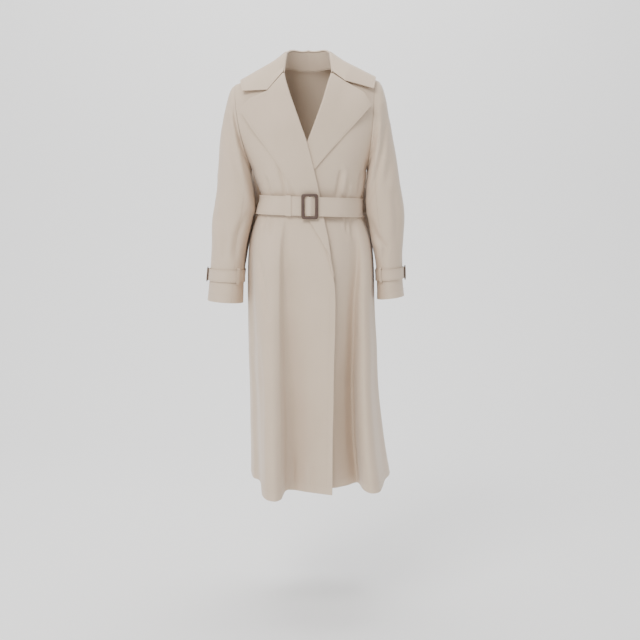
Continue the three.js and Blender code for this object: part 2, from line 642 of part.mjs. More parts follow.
// Rows of a lapel, level with the rows of the front that it turns back from
function lapelRows(name) {
  const { top, bottom } = LAPELS[name];
  const front = frontPanel(name);
  const heights = LEVELS.map((level) => front(1, level).z).filter((z) => z < top - 4 && z > bottom + 4);
  return [0, ...heights.reverse().map((z) => (z - top) / (bottom - top)), 1];
}

function makeLapels() {
  const across = [-1, -0.66, -0.33, 0, 0.08, 0.2, 0.4, 0.6, 0.78, 0.9, 1];
  for (const name of ['right', 'left']) {
    const side = -SIDES[name].sign;
    const geometry = wall(lapelPoint(name), across, lapelRows(name), { side });
    coat.add(mesh(`lapel_${name}`, geometry, LIGHT_CLOTH));
  }
}

function makeCollar() {
  const round = steps(-1, 1, 32);
  const out = [-1, -0.5, 0, 0.14, 0.28, 0.42, 0.6, 0.8, 1];
  coat.add(mesh('collar_fall', wall(collarFall, round, out), LIGHT_CLOTH));
  const standing = round.filter((place) => Math.abs(place) < 0.82);
  coat.add(mesh('collar_stand', wall(collarStand, standing, [0, 0.5, 1])));
}

function makeSleeve(name) {
  const rows = SLEEVES[name].map((row) => row.at).concat(0.31, 0.45).sort();
  const shape = (around, down) => sleevePoint(name, around, down);
  const options = { side: SIDES[name].sign, flatStart: true };
  const gap = 0.2;
  const upper = steps(-SLEEVE_SEAM + gap, SLEEVE_SEAM - gap, 16);
  const under = steps(SLEEVE_SEAM + gap, 360 - SLEEVE_SEAM - gap, 12);
  coat.add(mesh(`upper_sleeve_${name}`, wall(shape, upper, rows, options)));
  coat.add(mesh(`under_sleeve_${name}`, wall(shape, under, rows, options)));
}

// Strap buckled round each cuff, raised over the buckle's bar
function strapPoint(name, around, down) {
  const turn = ((around - CUFF_STRAP.buckleAt + 540) % 360) - 180;
  const bump = CUFF_STRAP.overBar * Math.exp(-((turn / 4.5) ** 2));
  return sleevePoint(name, around, down, CUFF_STRAP.out + bump);
}

// Direction and place of a flat piece: its face, and the side that runs across the strap
function seat(piece, shape, u, v, side, gap) {
  const face = normalAt(shape, u, v).multiplyScalar(side);
  const tall = shape(u, v - 0.01).sub(shape(u, v + 0.01));
  tall.addScaledVector(face, -tall.dot(face)).normalize();
  const wide = tall.clone().cross(face);
  piece.quaternion.setFromRotationMatrix(new THREE.Matrix4().makeBasis(wide, tall, face));
  piece.position.copy(shape(u, v)).addScaledVector(face, gap);
  return piece;
}

function makeCuff(name) {
  const side = SIDES[name].sign;
  const { top, bottom, out, buckleAt } = CUFF_STRAP;
  const strap = (around, down) => strapPoint(name, around, down);
  const turns = [-12, -8, -5, -2.5, 0, 2.5, 5, 8, 12].map((turn) => turn + buckleAt);
  turns.push(...steps(buckleAt + 26, buckleAt + 334, 22));
  coat.add(mesh(`cuff_strap_${name}`, wall(strap, turns, [top, bottom], { side, ring: true })));
  const middle = (top + bottom) / 2;
  const high = bottom - top + 0.018;
  const loop = (around, down) => {
    const inside = 0.5 - Math.abs((down - middle) / high);
    return sleevePoint(name, around, down, mix(1.9, out + 2.4, smooth(inside * 8)));
  };
  for (const [part, at] of [['front', 118], ['back', 282]]) {
    const rows = steps(middle - high / 2, middle + high / 2, 8);
    const geometry = wall(loop, steps(at - 4.5, at + 4.5, 2), rows, { side, thick: 1.2 });
    coat.add(mesh(`cuff_loop_${part}_${name}`, geometry));
  }
  const buckle = mesh(`cuff_buckle_${name}`, buckleGeometry(CUFF_BUCKLE), BUCKLE_COLOR, 0.45);
  const flat = (around, down) => sleevePoint(name, around, down, out);
  coat.add(seat(buckle, flat, buckleAt, middle, side, 1.4));
}

function makeBelt() {
  const turns = [...steps(1.5, 345, 44), ...steps(350, 370, 20), ...steps(376, 464, 12)];
  coat.add(mesh('belt', wall(beltPoint, turns, [0, 1], { thick: BELT.wall, side: -1 })));
  const round = steps(0, 345, 23);
  coat.add(mesh('belt_keeper', wall(keeperPoint, round, [0, 1], { thick: KEEPER.wall, ring: true })));
  const buckle = mesh('belt_buckle', buckleGeometry(BUCKLE), BUCKLE_COLOR, 0.45);
  buckle.rotation.x = Math.PI / 2;
  buckle.position.copy(beltPlace(BAR_ANGLE, 0, beltLift(BUCKLE.x) + BELT.layer + 0.5));
  coat.add(buckle);
}

makeBody();
makeLapels();
makeCollar();
makeBelt();
for (const name of ['right', 'left']) {
  makeSleeve(name);
  makeCuff(name);
}

export default coat;
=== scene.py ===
# %% [markdown]
# This lesson dresses a belted trench coat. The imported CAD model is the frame: it fixes every size and
# place. Here the same panels are drawn again with finer grids, creases, stitches and materials, so each
# piece of cloth lies exactly where its solid does.

# %% Imports and the frame
import json

import bpy
import numpy as np
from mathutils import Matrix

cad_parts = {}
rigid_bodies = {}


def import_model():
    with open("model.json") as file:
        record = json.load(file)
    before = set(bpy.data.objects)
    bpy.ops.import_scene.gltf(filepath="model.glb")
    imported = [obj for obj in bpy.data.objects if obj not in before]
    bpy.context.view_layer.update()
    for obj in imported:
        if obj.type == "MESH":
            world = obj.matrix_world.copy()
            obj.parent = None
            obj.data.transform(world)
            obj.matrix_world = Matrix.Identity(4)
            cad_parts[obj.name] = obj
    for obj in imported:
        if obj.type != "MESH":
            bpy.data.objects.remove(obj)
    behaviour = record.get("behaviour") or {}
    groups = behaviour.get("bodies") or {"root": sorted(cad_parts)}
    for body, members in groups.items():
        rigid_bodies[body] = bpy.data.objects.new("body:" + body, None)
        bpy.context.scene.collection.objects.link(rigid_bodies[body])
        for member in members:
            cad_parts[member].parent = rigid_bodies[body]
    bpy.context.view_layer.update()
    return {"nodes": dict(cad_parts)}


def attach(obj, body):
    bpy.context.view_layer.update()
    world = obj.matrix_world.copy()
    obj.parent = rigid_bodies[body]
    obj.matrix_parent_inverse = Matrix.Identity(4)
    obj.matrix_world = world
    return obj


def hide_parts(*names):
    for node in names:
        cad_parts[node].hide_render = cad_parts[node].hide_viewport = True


for old in list(bpy.data.objects):
    bpy.data.objects.remove(old)
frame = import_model()
print("nodes in the frame:", len(frame["nodes"]))

# %% [markdown]
# A coat is cut from flat cloth and takes its form from seams and from the body that fills it. The form
# could be sculpted or simulated. It is worked out here from short tables of measured sections instead,
# because a formula keeps the drawn cloth within a millimetre of the CAD solids.

# %% Driving sizes, in millimetres, and small helpers
MM = 0.001
CLOTH = 1.8
SEAM = 0.4
HEM_Z, UNDERARM_Z = -1090.0, -270.0
SQUARENESS = 2.3
NECK_X, NECK_Z, NECK_BACK, NECK_SLOPE = 65.0, -8.0, 68.0, 0.3
TIP_X, TIP_Z, UNDERARM_X = (188.0, 169.0), (-51.0, -36.0), (146.0, 152.0)
ARMHOLE_FRONT, ARMHOLE_BACK = 66.0, 75.0
CHEST_ROUNDING, BACK_ROUNDING = 0.7, 0.45
CHEST_DEPTH, BACK_DEPTH = 121.0, 106.0
ROLL_SOFT, ROLL_PRESSED = 4.0, 2.4
OVERLAP_LIFT = 6.8
BELT_Z, BELT_HEIGHT, BELT_TILT, BELT_LAYER, OVER_BAR = -364.0, 48.0, 0.035, 2.6, 5.4
BUCKLE_X = 4.0


def table(names, *rows):
    """Columns of a short table as arrays, by name."""
    return dict(zip(names.split(), np.array(rows, float).T))


def mix(a, b, t):
    return a + (b - a) * t


def smooth(value):
    t = np.clip(value, 0, 1)
    return t * t * (3 - 2 * t)


def along(rows, place, column, key="at"):
    """Smooth value of one column at places along the key column, by cubic pieces."""
    k, c = rows[key], rows[column]
    index = np.arange(len(k))
    low, high = np.maximum(index - 1, 0), np.minimum(index + 1, len(k) - 1)
    slope = (c[high] - c[low]) / (k[high] - k[low])
    place = np.asarray(place, float)
    i = np.clip(np.searchsorted(k, place) - 1, 0, len(k) - 2)
    span = k[i + 1] - k[i]
    t = (place - k[i]) / span
    return (c[i] * (2 * t**3 - 3 * t**2 + 1) + slope[i] * span * (t**3 - 2 * t**2 + t)
            + c[i + 1] * (3 * t**2 - 2 * t**3) + slope[i + 1] * span * (t**3 - t**2))


def solve(f, low, high):
    """Roots of a function between arrays of limits, by halving."""
    low, high = low + 0.0 * high, high + 0.0 * low
    positive = f(low) > 0
    for _ in range(28):
        middle = (low + high) / 2
        same = (f(middle) > 0) == positive
        low, high = np.where(same, middle, low), np.where(same, high, middle)
    return (low + high) / 2


def xyz(x, y, z):
    return np.stack(np.broadcast_arrays(x, y, z), -1)


# %% Tables of the form
BODY = table(
    "z right left front back",
    (-1090, 158, 205, 160, 150), (-900, 159, 181, 152, 142), (-700, 162, 172, 147, 136),
    (-600, 162, 169, 143, 132), (-500, 160, 168, 138, 126), (-453, 154, 162, 130, 117),
    (-414, 143, 149, 118, 104), (-389, 133, 140, 110, 95), (-364, 126, 139, 108, 92),
    (-341, 120, 140, 109, 93), (-318, 128, 145, 115, 98), (-295, 138, 149, 119, 103),
    (-270, 146, 152, 121, 106))
RIGHT_EDGE = table(
    "z x", (-1100, 61), (-925, 63), (-750, 66), (-593, 69), (-548, 65), (-503, 57), (-448, 49),
    (-390, 37), (-336, 27), (-269, 12), (-201, -6), (-138, -29), (-83, -49), (-43, -61), (-20, -65),
    (0, -65))
LEFT_EDGE = table(
    "z x", (-1100, -44), (-800, -56), (-500, -66), (-390, -64), (-340, -52), (-270, -25), (-197, 3),
    (-104, 39), (-54, 54), (-24, 63), (0, 65))
RIGHT_HEM = table(
    "at x y z", (-104, -159, 104, -1090), (-90, -157, 55, -1090), (-80, -147, -5, -1090),
    (-71, -127, -45, -1090), (-62, -114, -174, -1094), (-42, -88, -222, -1097),
    (-23, -64, -206, -1096), (-18.5, -56, -142, -1091), (-13, -40, -132, -1090),
    (0, 3, -158, -1090), (26, 61, -190, -1090), (40, 95, -200, -1090))
LEFT_HEM = table(
    "at x y z", (-34, -44, -110, -1083), (-10, 0, -128, -1083), (12, 34, -140, -1082),
    (28, 66, -155, -1081), (40, 100, -126, -1081), (50, 128, -96, -1081), (59, 141, -166, -1083),
    (67, 160, -196, -1085), (75, 182, -180, -1085), (81, 193, -124, -1083), (86, 202, -62, -1081),
    (91, 216, -6, -1082), (102, 217, 62, -1084))
BACK_HEM = table(
    "at x y z", (81, 193, -124, -1083), (86, 202, -62, -1081), (91, 216, -6, -1082),
    (102, 217, 62, -1084), (114, 196, 120, -1087), (126, 150, 128, -1088), (138, 122, 178, -1090),
    (152, 80, 144, -1089), (164, 50, 186, -1091), (180, 2, 156, -1090), (196, -46, 184, -1091),
    (209, -78, 144, -1089), (222, -112, 172, -1091), (236, -138, 122, -1090),
    (256, -159, 104, -1090), (270, -157, 55, -1090), (280, -147, -5, -1090))
LAPEL_RIGHT = table(
    "at x z", (0, -175, -119), (0.14, -140, -172), (0.34, -91, -238), (0.48, -60, -287),
    (0.6, -31, -336), (0.75, 4, -401), (0.86, 32, -447), (0.94, 53, -489), (1, 62, -522))
LAPEL_LEFT = table(
    "at x z", (0, 162, -108), (0.22, 134, -140), (0.48, 88, -190), (0.74, 43, -240),
    (0.9, 14, -274), (1, -14, -308))
COLLAR = table(
    "at stand x level sag", (0, 54, 0, 0.53, 0), (0.31, 50, 118, 0.62, -4), (0.5, 44, 163, 0.83, -6),
    (0.62, 41, 173, 0.995, -5), (0.8, 27, 174, 0.82, 3), (1, 3, 168, 0.625, 0))
SLEEVE_NAMES = "at outX outZ inX inZ front back reach lag"
SLEEVE_LEFT = table(
    SLEEVE_NAMES, (0, 169, -36, 152, -270, 66, 75, 0, 0), (0.07, 187, -49, 153.5, -276, 68, 77, 0, 0),
    (0.15, 200, -82, 154, -284, 70, 79, 4, 0), (0.25, 210, -132, 155, -297, 71, 79, 10, 14),
    (0.38, 223, -205, 154, -322, 71, 75, 16, 42), (0.52, 238, -292, 153, -362, 70, 70, 18, 64),
    (0.64, 250, -370, 160, -408, 70, 66, 22, 64), (0.76, 250, -440, 172, -460, 72, 58, 22, 46),
    (0.86, 247, -505, 180, -512, 73, 48, 20, 26), (0.94, 248, -560, 182, -566, 75, 42, 16, 8),
    (1, 252, -598, 182, -607, 78, 40, 14, 4))
SLEEVE_RIGHT = table(
    SLEEVE_NAMES, (0, 188, -51, 146, -270, 66, 75, 0, 0), (0.07, 199, -64, 147.5, -276, 68, 77, 0, 0),
    (0.15, 209, -90, 148, -284, 70, 79, 4, 0), (0.25, 219, -132, 148, -297, 71, 79, 12, 14),
    (0.38, 229, -205, 144, -322, 71, 75, 18, 46), (0.52, 238, -292, 141, -362, 70, 70, 20, 78),
    (0.64, 247, -370, 153, -408, 70, 66, 24, 70), (0.76, 253, -440, 165, -460, 72, 58, 24, 54),
    (0.86, 256, -508, 171, -512, 73, 48, 22, 42), (0.94, 261, -566, 172, -570, 76, 42, 18, 24),
    (1, 266, -610, 173, -616, 80, 40, 16, 10))


# %% [markdown]
# Cloth creases where it is pulled or pushed together: above and under a tight belt, at the elbow and
# round the armhole. A crease is a sharp valley with a soft ridge on one side. Each one follows a short
# line seen from the front, so that a few rows describe all of them. Sculpting them by hand would look
# as good, but could not be repeated from a script.

# %% Creases: a valley with a soft ridge beside it, along a line seen from the front
def crease(x, z, points, wide, deep):
    """Outward move at a place: -deep exp(-(d/w)^2) + 0.55 deep exp(-((d-1.8w)/1.3w)^2)."""
    points = np.array(points, float)
    lengths = np.hypot(*np.diff(points, axis=0).T)
    best, signed, part = np.full(np.shape(x), 1e9), np.zeros(np.shape(x)), np.zeros(np.shape(x))
    passed = 0.0
    for start, end, length in zip(points[:-1], points[1:], lengths):
        run = (end - start) / length
        t = np.clip((x - start[0]) * run[0] + (z - start[1]) * run[1], 0, length)
        dx, dz = x - start[0] - t * run[0], z - start[1] - t * run[1]
        distance, closer = np.hypot(dx, dz), np.hypot(dx, dz) < best
        side = np.sign(dx * run[1] - dz * run[0])
        best, signed = np.where(closer, distance, best), np.where(closer, distance * side, signed)
        part = np.where(closer, (passed + t) / lengths.sum(), part)
        passed += length
    fade = np.sqrt(np.clip(4.2 * (part + 0.03) * (1.03 - part), 0, 1))
    valley = np.exp(-((signed / wide) ** 2))
    ridge = 0.55 * np.exp(-(((signed - 1.8 * wide) / (1.3 * wide)) ** 2))
    return deep * fade * (ridge - valley)


FRONT_CREASES = [
    ([(-93, -338), (-97, -318), (-104, -292)], 5, 3.5),
    ([(-55, -338), (-60, -300), (-72, -262)], 5, 4),
    ([(74, -336), (79, -310), (86, -275)], 6, 5),
    ([(100, -336), (103, -312)], 4, 2.5),
    ([(128, -336), (135, -300), (139, -276)], 5, 3),
    ([(-108, -394), (-112, -420)], 4, 2.5),
    ([(-90, -394), (-93, -432)], 5, 3),
    ([(96, -394), (99, -428)], 4, 3),
    ([(110, -394), (114, -440)], 5, 3),
    ([(-122, -500), (-104, -590), (-95, -650)], 6, 3),
    ([(-38, -1000), (-36, -1080)], 7, 3),
    ([(8, -1020), (6, -1082)], 7, 2.5),
    ([(-128, -700), (-117, -800), (-116, -1050)], 9, 3),
]
SLEEVE_CREASES = {
    "right": [
        ([(-187, -118), (-180, -165), (-172, -215)], 7, 4),
        ([(-172, -190), (-160, -255), (-142, -320), (-136, -360)], 8, 5),
        ([(-205, -150), (-190, -230), (-165, -300)], 11, 3.5),
        ([(-226, -395), (-219, -440), (-214, -500)], 9, 3.5),
        ([(-165, -395), (-182, -440), (-190, -500)], 9, 3),
        ([(-238, -300), (-243, -360), (-240, -420)], 10, 2.5),
    ],
    "left": [
        ([(197, -115), (199, -156), (191, -220), (177, -284), (160, -335)], 8, 5.5),
        ([(176, -150), (168, -205), (158, -262)], 7, 4),
        ([(158, -398), (174, -440), (198, -468), (195, -505)], 8, 4.5),
        ([(222, -330), (230, -395), (228, -450)], 10, 3),
        ([(214, -180), (212, -250), (200, -310)], 11, 3),
    ],
}


def relief(x, z, rows):
    """All creases of a list, and the shallow waves that loose cloth always has."""
    total = 1.1 * np.sin(x / 29 + z / 71) * np.sin(z / 47 - x / 53 + 1.3)
    for points, wide, deep in rows:
        total = total + crease(x, z, points, wide, 1.3 * deep)
    return total


# %% [markdown]
# The body of the coat is one form cut into three panels. Its sections are squared ellipses, because a
# worn coat is broader and flatter than a round tube. Under the belt the hem's folds fade in with
# height, so that each pleat hangs from the waist as it does on the real coat.

# %% The body form
def power(value):
    return np.sign(value) * np.abs(value) ** (2 / SQUARENESS)


def by_side(pair, left):
    return np.where(left, pair[1], pair[0])


def shoulder_z(x):
    """Height of the shoulder seam: a straight line from the neck to the tip."""
    left = x >= 0
    past = np.abs(x) - NECK_X
    slope = (by_side(TIP_Z, left) - NECK_Z) / (by_side(TIP_X, left) - NECK_X)
    return NECK_Z + past * np.where(past < 0, -NECK_SLOPE, slope)


def upper_section(left, level, front):
    """Half width and depth above the underarm; level is 0 there and 1 at the shoulder seam."""
    angle = np.radians(90 * level)
    share = np.sin(angle)
    rounding = np.where(front, CHEST_ROUNDING, BACK_ROUNDING)
    deep = np.where(front, CHEST_DEPTH, BACK_DEPTH) * np.maximum(np.cos(angle), 1e-6) ** rounding
    hole_y = np.where(front, ARMHOLE_FRONT, ARMHOLE_BACK)
    hole_y = hole_y * np.sqrt(np.maximum(0, 1 - (2 * np.clip(share, 0, 1) - 1) ** 2))
    hole_x = mix(by_side(UNDERARM_X, left), by_side(TIP_X, left), 1 - (1 - share) ** 2)
    ratio = np.clip(hole_y / deep, 0, 0.95)
    wide = hole_x / (1 - ratio**SQUARENESS) ** (1 / SQUARENESS)
    return wide, deep, share, ratio, hole_x


def fullness(z):
    return np.clip((-392 - z) / (-392 - HEM_Z), 0, 1) ** 0.68


def section_point(turn, z, out):
    """x = wide sin^(2/n), y = -deep cos^(2/n) at an angle from the front."""
    s, c = np.sin(np.radians(turn)), np.cos(np.radians(turn))
    right, left = along(BODY, z, "right", "z"), along(BODY, z, "left", "z")
    front, back = along(BODY, z, "front", "z"), along(BODY, z, "back", "z")
    x = (np.where(s < 0, right, left) + out) * power(s)
    return x, -(np.where(c > 0, front, back) + out) * power(c)


def body_point(hem, turn, level, out=0.0):
    """Point of the body at an angle and level, with the hem's folds and an outward move."""
    low = np.minimum(level, 0)
    z0 = UNDERARM_Z + low * (UNDERARM_Z - HEM_Z)
    x0, y0 = section_point(turn, z0, out)
    plain_x, plain_y = section_point(turn, HEM_Z, 0)
    full = fullness(z0)
    x0 = x0 + full * (along(hem, turn, "x") - plain_x)
    y0 = y0 + full * (along(hem, turn, "y") - plain_y)
    z0 = z0 + full * (along(hem, turn, "z") - HEM_Z)
    s, c = np.sin(np.radians(turn)), np.cos(np.radians(turn))
    wide, deep, share, _, _ = upper_section(s >= 0, np.maximum(level, 0), c > 0)
    x1 = (wide + out) * power(s)
    z1 = UNDERARM_Z + (shoulder_z(x1) + out - UNDERARM_Z) * share
    y1 = -(deep + out) * power(c)
    above = level > 0
    return np.where(above, x1, x0), np.where(above, y1, y0), np.where(above, z1, z0)


def depth_at(x, z, out=0.0):
    """Depth of the front at a place seen from the front, with an outward move."""
    x, z, out = np.broadcast_arrays(x, z, np.asarray(out, float))
    level = (np.minimum(z, UNDERARM_Z) - UNDERARM_Z) / (UNDERARM_Z - HEM_Z)
    limit = np.full(x.shape, 60.0)
    turn = solve(lambda a: body_point(RIGHT_HEM, a, level, out)[0] - x, -limit, limit)
    low = -body_point(RIGHT_HEM, turn, level, out)[1]
    share = np.clip((z - UNDERARM_Z) / (shoulder_z(x) + out - UNDERARM_Z), 0, 0.9999)
    wide, deep, *_ = upper_section(x >= 0, np.degrees(np.arcsin(share)) / 90, True)
    reach = np.clip(np.abs(x) / (wide + out), 0, 0.97)
    high = (deep + out) * (1 - reach**SQUARENESS) ** (1 / SQUARENESS)
    return np.where(z > UNDERARM_Z, high, low)


def overlap_lift(x, z):
    """How far the right front stands out to lie on the left one."""
    return OVERLAP_LIFT * smooth((x + 140) / 60) * smooth((-90 - z) / 80)


# %% [markdown]
# Each panel is a function of two numbers, u across and v up. A grid of such points is a surface, and a
# second grid moved inwards by the cloth's thickness, joined round the rim, makes it real cloth with two
# sides. The Solidify modifier would do the same, but the mesh made here keeps even, clean edges.

# %% A helper that turns a surface into cloth
def shell(name, points, side, thick=CLOTH, ring=False):
    """Closed mesh from a grid of points (columns, rows, 3) in millimetres; side gives the face."""
    wrapped = np.concatenate([points[-1:], points, points[:1]]) if ring else points
    across = np.gradient(wrapped, axis=0)
    across = across[1:-1] if ring else across
    normal = np.cross(across, np.gradient(points, axis=1))
    normal /= np.maximum(np.linalg.norm(normal, axis=-1, keepdims=True), 1e-9) * side
    inner = points - normal * thick
    columns, rows = points.shape[:2]
    number = np.arange(columns * rows).reshape(columns, rows)
    i = np.arange(columns if ring else columns - 1)
    j = np.arange(rows - 1)
    i2 = (i + 1) % columns
    far = columns * rows

    def quads(a, b, c, d):
        corners = [a, b, c, d] if side > 0 else [a, d, c, b]
        return np.stack([np.ravel(k) for k in corners], 1)

    a, b = number[np.ix_(i, j)], number[np.ix_(i2, j)]
    c, d = number[np.ix_(i2, j + 1)], number[np.ix_(i, j + 1)]
    faces = [quads(a, b, c, d), quads(a + far, d + far, c + far, b + far)]
    low, low2, top, top2 = number[i, 0], number[i2, 0], number[i, -1], number[i2, -1]
    faces.append(quads(low, low + far, low2 + far, low2))
    faces.append(quads(top, top2, top2 + far, top + far))
    if not ring:
        first, last = number[0], number[-1]
        faces.append(quads(first[:-1], first[1:], first[1:] + far, first[:-1] + far))
        faces.append(quads(last[:-1], last[:-1] + far, last[1:] + far, last[1:]))
    faces = np.concatenate(faces)
    verts = np.concatenate([points.reshape(-1, 3), inner.reshape(-1, 3)]) * MM
    mesh = bpy.data.meshes.new(name)
    mesh.from_pydata(verts.tolist(), [], faces.tolist())
    step_u = np.linalg.norm(np.diff(points, axis=0), axis=-1).mean(1)
    step_v = np.linalg.norm(np.diff(points, axis=1), axis=-1).mean(0)
    u = np.concatenate([[0], np.cumsum(step_u)]) * MM
    v = np.concatenate([[0], np.cumsum(step_v)]) * MM
    flat = np.stack(np.meshgrid(u, v, indexing="ij"), -1).reshape(-1, 2)
    layer = mesh.uv_layers.new(name="UVMap")
    layer.data.foreach_set("uv", np.tile(flat, (2, 1))[faces.ravel()].ravel())
    mesh.polygons.foreach_set("use_smooth", np.ones(len(faces), bool))
    edge_cos = 0.5
    mesh.set_sharp_from_angle(angle=float(np.arccos(edge_cos)))
    obj = bpy.data.objects.new(name, mesh)
    bpy.context.collection.objects.link(obj)
    print(name, "triangles:", 2 * len(faces))
    return obj


def grid(us, vs):
    return np.meshgrid(us, vs, indexing="ij")


def finish_piece(obj, material, slot, *nodes):
    obj.name = obj.name.replace(" ", "-")
    obj.data.materials.append(material)
    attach(obj, "root")
    if nodes:
        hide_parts(*nodes)
    return obj


# %% [markdown]
# The cloth is a mid-weight cotton twill in beige, with a soft, dry surface. A photograph of cloth would
# give the weave too, but it would carry its own light and repeat. A few noise and wave nodes give the
# same look at any distance, and their coordinates follow each panel's own grain.

# %% The cloth's material
def new_material(name, color, roughness):
    material = bpy.data.materials.new(name)
    material.use_nodes = True
    nodes, links = material.node_tree.nodes, material.node_tree.links
    shader = nodes["Principled BSDF"]
    shader.inputs["Base Color"].default_value = (*color, 1)
    shader.inputs["Roughness"].default_value = roughness
    return material, nodes, links, shader


cloth, nodes, links, shader = new_material("beige twill", (0.60, 0.475, 0.36), 0.82)
shader.inputs["Sheen Weight"].default_value = 0.25
shader.inputs["Sheen Roughness"].default_value = 0.4
place = nodes.new("ShaderNodeTexCoord")
mottle = nodes.new("ShaderNodeTexNoise")
mottle.inputs["Scale"].default_value = 14
mottle.inputs["Detail"].default_value = 5
tint = nodes.new("ShaderNodeValToRGB")
tint.color_ramp.elements[0].color = (0.575, 0.452, 0.340, 1)
tint.color_ramp.elements[1].color = (0.625, 0.498, 0.380, 1)
links.new(place.outputs["Object"], mottle.inputs["Vector"])
links.new(mottle.outputs["Fac"], tint.inputs["Fac"])
links.new(tint.outputs["Color"], shader.inputs["Base Color"])
twill = nodes.new("ShaderNodeTexWave")
twill.bands_direction = "DIAGONAL"
twill.inputs["Scale"].default_value = 190
twill.inputs["Distortion"].default_value = 0.6
links.new(place.outputs["UV"], twill.inputs["Vector"])
fine = nodes.new("ShaderNodeTexNoise")
fine.inputs["Scale"].default_value = 260
links.new(place.outputs["Object"], fine.inputs["Vector"])
weave = nodes.new("ShaderNodeMath")
weave.operation = "ADD"
links.new(twill.outputs["Fac"], weave.inputs[0])
links.new(fine.outputs["Fac"], weave.inputs[1])
bump = nodes.new("ShaderNodeBump")
bump.inputs["Strength"].default_value = 0.16
bump.inputs["Distance"].default_value = 0.0004
links.new(weave.outputs["Value"], bump.inputs["Height"])
links.new(bump.outputs["Normal"], shader.inputs["Normal"])

thread, *_ = new_material("beige thread", (0.50, 0.385, 0.285), 0.7)

# %% [markdown]
# The buckles are dark brown and rounded, with a soft shine like horn or covered leather.

# %% The buckles' material
horn, nodes, links, shader = new_material("dark brown horn", (0.075, 0.045, 0.034), 0.38)
place = nodes.new("ShaderNodeTexCoord")
cloud = nodes.new("ShaderNodeTexNoise")
cloud.inputs["Scale"].default_value = 60
shade = nodes.new("ShaderNodeValToRGB")
shade.color_ramp.elements[0].color = (0.055, 0.032, 0.024, 1)
shade.color_ramp.elements[1].color = (0.115, 0.072, 0.056, 1)
links.new(place.outputs["Object"], cloud.inputs["Vector"])
links.new(cloud.outputs["Fac"], shade.inputs["Fac"])
links.new(shade.outputs["Color"], shader.inputs["Base Color"])

# %% [markdown]
# The fronts wrap over each other, right over left as the wearer has it. Each row of a panel runs from
# the side seam to the place where it meets the edge, and that place is found by halving.

# %% The fronts and the back
LEVEL_ROWS = np.concatenate([np.linspace(-1, 0, 150)[:-1], np.linspace(0, 1, 70)])


def end_turn(left, level, front):
    """Angle at which a row ends, on the side seam or on the armhole."""
    ratio = upper_section(left, np.maximum(level, 0), front)[3]
    return np.where(level <= 0, 90, np.degrees(np.arccos(ratio ** (SQUARENESS / 2))))


def front_panel(u, v, name):
    """A front from its side seam (u 0) to its edge (u 1), level v from hem -1 to shoulder 1."""
    right = name == "right"
    hem, edge = (RIGHT_HEM, RIGHT_EDGE) if right else (LEFT_HEM, LEFT_EDGE)

    def place(turn, creased):
        flat = body_point(hem, turn, v)
        out = overlap_lift(flat[0], flat[2]) if right else 0.0
        if creased:
            held = smooth((0.985 - v) / 0.1) * smooth((u + 0.02) / 0.08)
            out = out + held * relief(flat[0], flat[2], FRONT_CREASES)
        return body_point(hem, turn, v, out)

    def past(turn):
        x, _, z = place(turn, False)
        return x - along(edge, z, "x", "z")

    first = (-1 if right else 1) * end_turn(not right, v, True)
    last = solve(past, -0.6 * first, 0.9 * first)
    x, y, z = place(mix(first, last, u), True)
    return xyz(x, y - SEAM / 2, z)


def back_top(x):
    """Level at which the back ends: the shoulder seam, or the neckline between its ends."""
    reach = np.clip(np.abs(x) / NECK_X, 0, 1)
    y = NECK_BACK * np.sqrt(1 - reach**2)
    angle = np.degrees(np.arccos(np.clip((y / BACK_DEPTH) ** (1 / BACK_ROUNDING), 0, 1)))
    return np.where(reach >= 1, 1, angle / 90)


def back_panel(u, v):
    """The back from the left side seam (u -1) to the right one (u 1)."""
    left = u < 0
    spread = power(np.sin(np.radians(90 * u)))
    level = np.where(v > 0, v * back_top(by_side(TIP_X, left) * spread), v)
    wide, _, _, _, hole_x = upper_section(left, np.maximum(level, 0), False)
    ratio = np.clip(np.abs(hole_x * spread) / wide, 0, 1)
    turn = np.where(v > 0, np.degrees(np.arcsin(ratio ** (SQUARENESS / 2))) * np.sign(u), 90 * u)
    held = smooth((1 - np.abs(u)) / 0.1) * smooth((0.97 - v) / 0.2)
    x, y, z = body_point(BACK_HEM, 180 + turn, level)
    waist = np.exp(-(((z + 330) / 60) ** 2)) + np.exp(-(((z + 425) / 50) ** 2))
    out = held * (relief(x, z, []) * 1.6 + 1.8 * waist * np.sin(x / 8.5 + 0.6 * np.sin(z / 40)))
    x, y, z = body_point(BACK_HEM, 180 + turn, level, out)
    return xyz(x, y + SEAM / 2, z)


U, V = grid(np.linspace(0, 1, 110), LEVEL_ROWS)
front_right = shell("front right", front_panel(U, V, "right"), 1)
front_left = shell("front left", front_panel(U, V, "left"), -1)
U, V = grid(np.linspace(-1, 1, 170), LEVEL_ROWS)
back = shell("back", back_panel(U, V), 1)
finish_piece(front_right, cloth, "cloth", "front_right")
finish_piece(front_left, cloth, "cloth", "front_left")
finish_piece(back, cloth, "cloth", "back")

# %% [markdown]
# A lapel is the front's own edge folded back. It rolls softly near the collar and is pressed flat
# lower down. Its surface starts under the front's edge, turns round the roll and lies on the front.


# %% The lapels
def straight(places, values, at):
    return np.interp(at, places, values)


LAPELS = {
    "right": (RIGHT_EDGE, LAPEL_RIGHT, (-103, -72), (-148, -92), -27, -540, -1),
    "left": (LEFT_EDGE, LAPEL_LEFT, (94, -48), (141, -76), -28, -330, 1),
}


